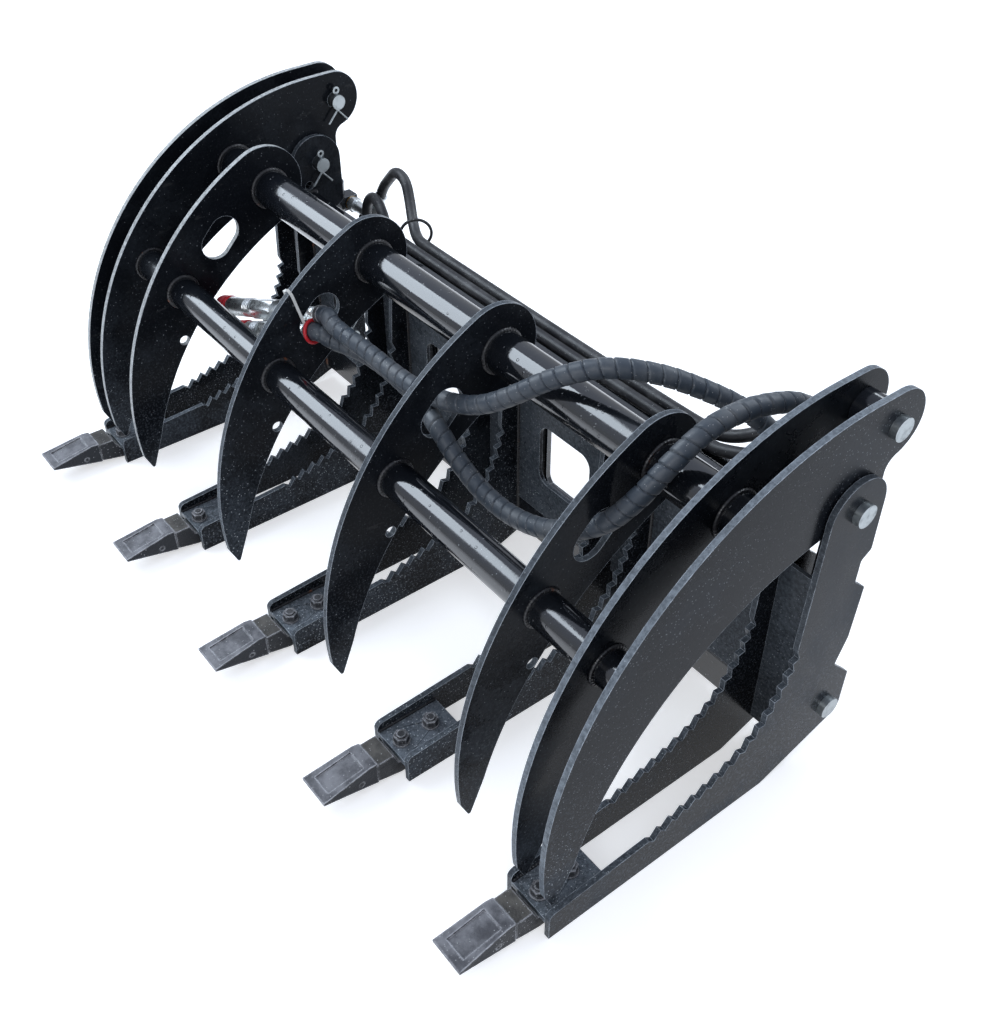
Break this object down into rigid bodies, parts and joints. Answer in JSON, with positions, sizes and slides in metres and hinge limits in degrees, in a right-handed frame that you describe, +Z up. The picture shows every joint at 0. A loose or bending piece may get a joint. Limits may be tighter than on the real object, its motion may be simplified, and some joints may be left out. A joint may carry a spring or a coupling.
{
  "type": "root grapple",
  "caption": "Root grapple attachment with serrated box-section tines, bolt-on teeth and a full-width hinged lid of curved fingers closed by hydraulic cylinders.",
  "frame": {"origin": "centre of the object's bounding box in plan, on the ground under the tines", "axes": "+X along the crossbars, +Y towards the loader, +Z up; the tine tips point to -Y"},
  "size_m": [1.548, 0.81, 0.707],
  "materials": {
    "black_paint": "gloss black paint over welded plate and tube",
    "cylinder_paint": "gloss black paint on the cylinder barrels and glands",
    "chrome_rod": "hard chrome rod",
    "machined_steel": "oiled machined steel, inside the barrel",
    "plated_fitting": "zinc-plated hydraulic fittings",
    "black_fastener": "black-oxide bolts, nuts and washers",
    "zinc_pin": "zinc-plated pins",
    "cast_tooth": "worn bare cast steel",
    "cast_shank": "dark rough casting",
    "hose_rubber": "dusty grey hydraulic hose",
    "hose_guard": "spiral hose guard",
    "red_cap": "red dust caps",
    "black_tie": "black cable tie",
    "white_tie": "white cable tie"
  },
  "bodies": {
    "frame": {"back_panels": "black_paint", "channel_webs": "black_paint", "cross_hose_lower": "hose_rubber", "cross_hose_upper": "hose_rubber", "frame_cotter_pins": "zinc_pin", "frame_pins": "zinc_pin", "hose_tie": "black_tie", "lower_crossbar": "black_paint", "mounting_plate": "black_paint", "tine_1_outer_plate": "black_paint", "tine_1_inner_plate": "black_paint", "tine_2_left_plate": "black_paint", "tine_2_right_plate": "black_paint", "tine_3_left_plate": "black_paint", "tine_3_right_plate": "black_paint", "tine_4_left_plate": "black_paint", "tine_4_right_plate": "black_paint", "tine_5_inner_plate": "black_paint", "tine_5_outer_plate": "black_paint", "tip_plates": "black_paint", "tooth_1": "cast_tooth", "tooth_2": "cast_tooth", "tooth_3": "cast_tooth", "tooth_4": "cast_tooth", "tooth_5": "cast_tooth", "tooth_bolts": "black_fastener", "tooth_nuts": "black_fastener", "tooth_pins": "zinc_pin", "tooth_shanks": "cast_shank", "tooth_washers": "black_fastener", "top_crossbar": "black_paint"},
    "lid": {"dust_caps": "red_cap", "lid_cotter_pins": "zinc_pin", "lid_finger_1": "black_paint", "lid_finger_2": "black_paint", "lid_finger_3": "black_paint", "lid_finger_4": "black_paint", "lid_plate_1": "black_paint", "lid_plate_2": "black_paint", "lid_plate_3": "black_paint", "lid_plate_4": "black_paint", "lid_tie": "white_tie", "lower_lid_tube": "black_paint", "quick_couplers": "plated_fitting", "rod_pins": "zinc_pin", "supply_hose_1": "hose_guard", "supply_hose_2": "hose_guard", "upper_lid_tube": "black_paint"},
    "barrel_left": {"cylinder_barrel_left": "cylinder_paint", "cylinder_gland_left": "cylinder_paint", "hose_fittings_left": "plated_fitting"},
    "barrel_right": {"cylinder_barrel_right": "cylinder_paint", "cylinder_gland_right": "cylinder_paint", "hose_fittings_right": "plated_fitting"},
    "rod_left": {"cylinder_rod_left": "chrome_rod", "cylinder_piston_left": "machined_steel"},
    "rod_right": {"cylinder_rod_right": "chrome_rod", "cylinder_piston_right": "machined_steel"}
  },
  "joints": [
    {"name": "lid_hinge", "type": "hinge", "parent": "frame", "child": "lid", "pos_m": [0, 0.29, 0.535], "axis": [-1, 0, 0], "range_deg": [0, 60], "deforming": ["supply_hose_1", "supply_hose_2"]},
    {"name": "barrel_swing_left", "type": "hinge", "parent": "frame", "child": "barrel_left", "pos_m": [-0.713, 0.327, 0.102], "axis": [-1, 0, 0], "range_deg": [0, 10.3], "deforming": ["cross_hose_upper"]},
    {"name": "barrel_swing_right", "type": "hinge", "parent": "frame", "child": "barrel_right", "pos_m": [0.713, 0.327, 0.102], "axis": [-1, 0, 0], "range_deg": [0, 10.3], "deforming": ["cross_hose_lower"]},
    {"name": "rod_slide_left", "type": "slide", "parent": "barrel_left", "child": "rod_left", "axis": [0, 0.0383, 0.9993], "range_m": [-0.0925, 0]},
    {"name": "rod_slide_right", "type": "slide", "parent": "barrel_right", "child": "rod_right", "axis": [0, 0.0383, 0.9993], "range_m": [-0.0925, 0]}
  ],
  "couplings": [
    {"joint": "barrel_swing_left", "follows": "lid_hinge", "ratio": 0.17044},
    {"joint": "barrel_swing_right", "follows": "lid_hinge", "ratio": 0.17044},
    {"joint": "rod_slide_left", "follows": "lid_hinge", "m_per_rad": -0.08766},
    {"joint": "rod_slide_right", "follows": "lid_hinge", "m_per_rad": -0.08766}
  ]
}
